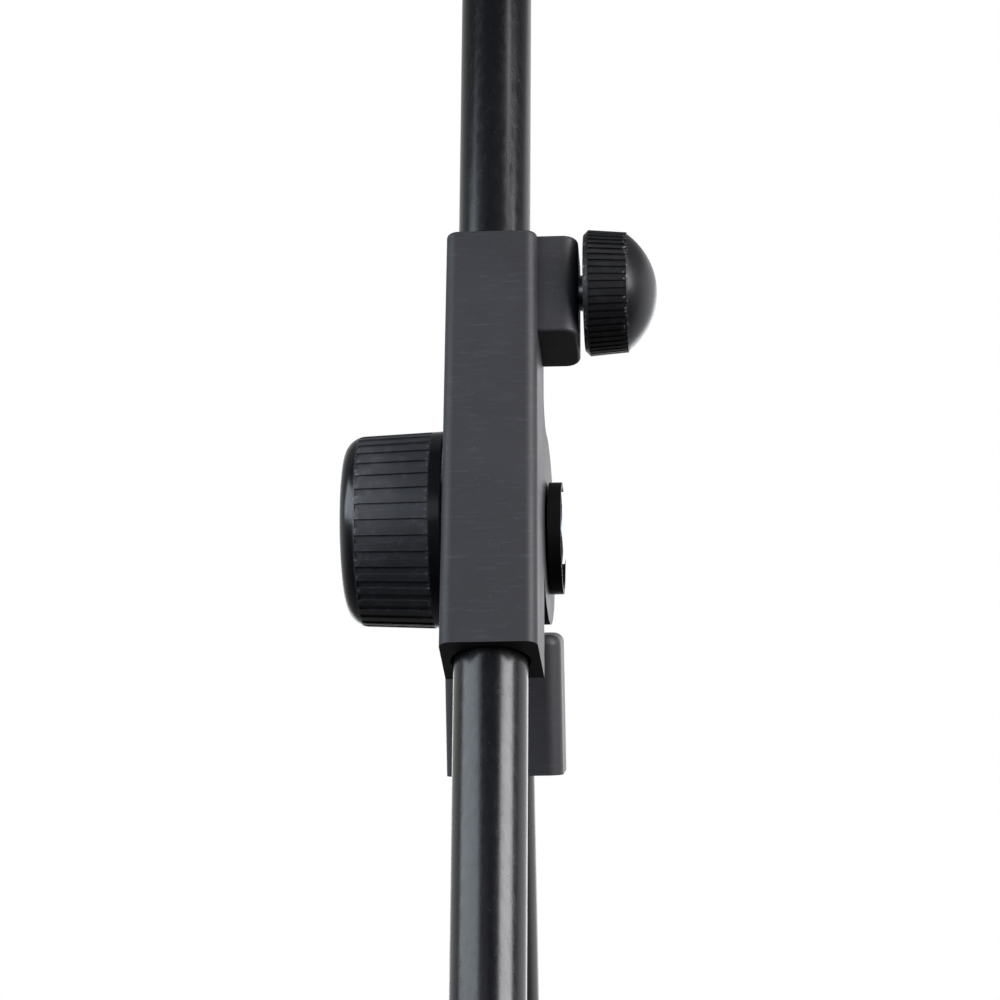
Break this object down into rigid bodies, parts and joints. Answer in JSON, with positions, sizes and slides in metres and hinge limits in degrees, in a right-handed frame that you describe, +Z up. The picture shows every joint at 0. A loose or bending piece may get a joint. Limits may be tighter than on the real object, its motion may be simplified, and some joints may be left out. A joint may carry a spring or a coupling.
{
  "type": "music stand",
  "caption": "Folding tripod music stand: telescopic column, tilting cast clutch with a sliding arm, ribbed clamp knobs and a slotted steel desk with page clips.",
  "frame": {"origin": "on the floor, at the middle of the stand's bounding box", "axes": "+Z up; -Y towards the player, who faces the desk; +X to the player's right"},
  "size_m": [0.5118, 0.4454, 1.335],
  "materials": {
    "tube_paint": "semi-gloss black powder coat",
    "cast_paint": "satin dark grey coating on a casting, with fine brushed marks",
    "desk_paint": "fine textured black powder coat",
    "knob_plastic": "black moulded nylon, ribs satin and crowns glossy",
    "cup_plastic": "plain black plastic",
    "zinc": "bright zinc plate",
    "black_screw": "blackened steel",
    "brass": "turned brass",
    "liner": "black nylon",
    "fibre": "pressed fibre",
    "rubber": "black rubber, matte"
  },
  "bodies": {
    "base": {"base_hub": "cast_paint", "hub_screw": "black_screw", "hub_plug": "cup_plastic", "leg_pins": "zinc", "column_lower_tube": "tube_paint", "height_collar": "cast_paint", "height_pad": "brass"},
    "leg_1": {"leg_root_1": "cast_paint", "leg_tube_1": "tube_paint", "foot_1": "rubber"},
    "leg_2": {"leg_root_2": "cast_paint", "leg_tube_2": "tube_paint", "foot_2": "rubber"},
    "leg_3": {"leg_root_3": "cast_paint", "leg_tube_3": "tube_paint", "foot_3": "rubber"},
    "height_knob_body": {"height_knob": "knob_plastic", "height_stud": "zinc"},
    "column_bush": {"height_bush": "liner"},
    "column": {"column_upper_tube": "tube_paint", "column_plug": "cup_plastic", "tilt_block": "cast_paint", "block_screw": "black_screw", "friction_disc_left": "fibre", "friction_disc_right": "fibre"},
    "housing": {"arm_housing": "cast_paint", "tilt_bolt": "zinc", "bolt_cup": "cup_plastic", "tilt_washer": "zinc", "clamp_pad": "brass"},
    "tilt_knob_body": {"tilt_knob": "knob_plastic", "tilt_knob_nut": "brass"},
    "clamp_knob_body": {"clamp_knob": "knob_plastic", "clamp_stud": "zinc"},
    "arm_sleeve": {"arm_liner": "liner"},
    "arm": {"arm_tube": "tube_paint", "arm_plug": "cup_plastic", "desk_bracket": "cast_paint"},
    "desk": {"desk_fork": "cast_paint", "desk_bolt": "zinc", "desk_washer": "zinc", "desk_plate": "desk_paint", "desk_ledge": "desk_paint", "fork_rivets": "black_screw", "ledge_rivets": "black_screw", "clip_rivets": "black_screw"},
    "desk_knob_body": {"desk_knob": "knob_plastic"},
    "clip_left": {"page_clip_left": "desk_paint"},
    "clip_right": {"page_clip_right": "desk_paint"}
  },
  "joints": [
    {"name": "leg_1_fold", "type": "hinge", "parent": "base", "child": "leg_1", "pos_m": [0, -0.0415, 0.07], "axis": [-1, 0, 0], "range_deg": [0, 77]},
    {"name": "leg_2_fold", "type": "hinge", "parent": "base", "child": "leg_2", "pos_m": [-0.02338, -0.082, 0.07], "axis": [0.5, -0.866, 0], "range_deg": [0, 77]},
    {"name": "leg_3_fold", "type": "hinge", "parent": "base", "child": "leg_3", "pos_m": [0.02338, -0.082, 0.07], "axis": [0.5, 0.866, 0], "range_deg": [0, 77]},
    {"name": "height_knob_turn", "type": "hinge", "parent": "base", "child": "height_knob_body", "pos_m": [0, -0.0445, 0.484], "axis": [0, 1, 0], "range_deg": [0, 1080]},
    {"name": "column_turn", "type": "hinge", "parent": "base", "child": "column_bush", "pos_m": [0, -0.0685, 0.484], "axis": [0, 0, 1], "range_deg": [-90, 90]},
    {"name": "column_slide", "type": "slide", "parent": "column_bush", "child": "column", "axis": [0, 0, 1], "range_m": [-0.265, 0.1]},
    {"name": "arm_tilt", "type": "hinge", "parent": "column", "child": "housing", "pos_m": [0, -0.0685, 0.85], "axis": [-1, 0, 0], "range_deg": [-24, 66]},
    {"name": "tilt_knob_turn", "type": "hinge", "parent": "housing", "child": "tilt_knob_body", "pos_m": [-0.014, -0.0685, 0.85], "axis": [-1, 0, 0], "range_deg": [0, 1080]},
    {"name": "clamp_knob_turn", "type": "hinge", "parent": "housing", "child": "clamp_knob_body", "pos_m": [0.02, -0.07048, 0.90211], "axis": [1, 0, 0], "range_deg": [0, 1080]},
    {"name": "arm_turn", "type": "hinge", "parent": "housing", "child": "arm_sleeve", "pos_m": [0, -0.08951, 0.85935], "axis": [0, 0.4067, 0.9135], "continuous": true},
    {"name": "arm_slide", "type": "slide", "parent": "arm_sleeve", "child": "arm", "axis": [0, 0.4067, 0.9135], "range_m": [-0.12, 0.1]},
    {"name": "desk_tilt", "type": "hinge", "parent": "arm", "child": "desk", "pos_m": [0, 0.05203, 1.17727], "axis": [-1, 0, 0], "range_deg": [-5, 60]},
    {"name": "desk_knob_turn", "type": "hinge", "parent": "desk", "child": "desk_knob_body", "pos_m": [-0.01, 0.05203, 1.17727], "axis": [-1, 0, 0], "range_deg": [0, 1080]},
    {"name": "clip_left_swing", "type": "hinge", "parent": "desk", "child": "clip_left", "pos_m": [-0.15, -0.07749, 1.07074], "axis": [0, -0.9135, 0.4067], "range_deg": [0, 95]},
    {"name": "clip_right_swing", "type": "hinge", "parent": "desk", "child": "clip_right", "pos_m": [0.15, -0.07749, 1.07074], "axis": [0, 0.9135, -0.4067], "range_deg": [0, 95]}
  ]
}
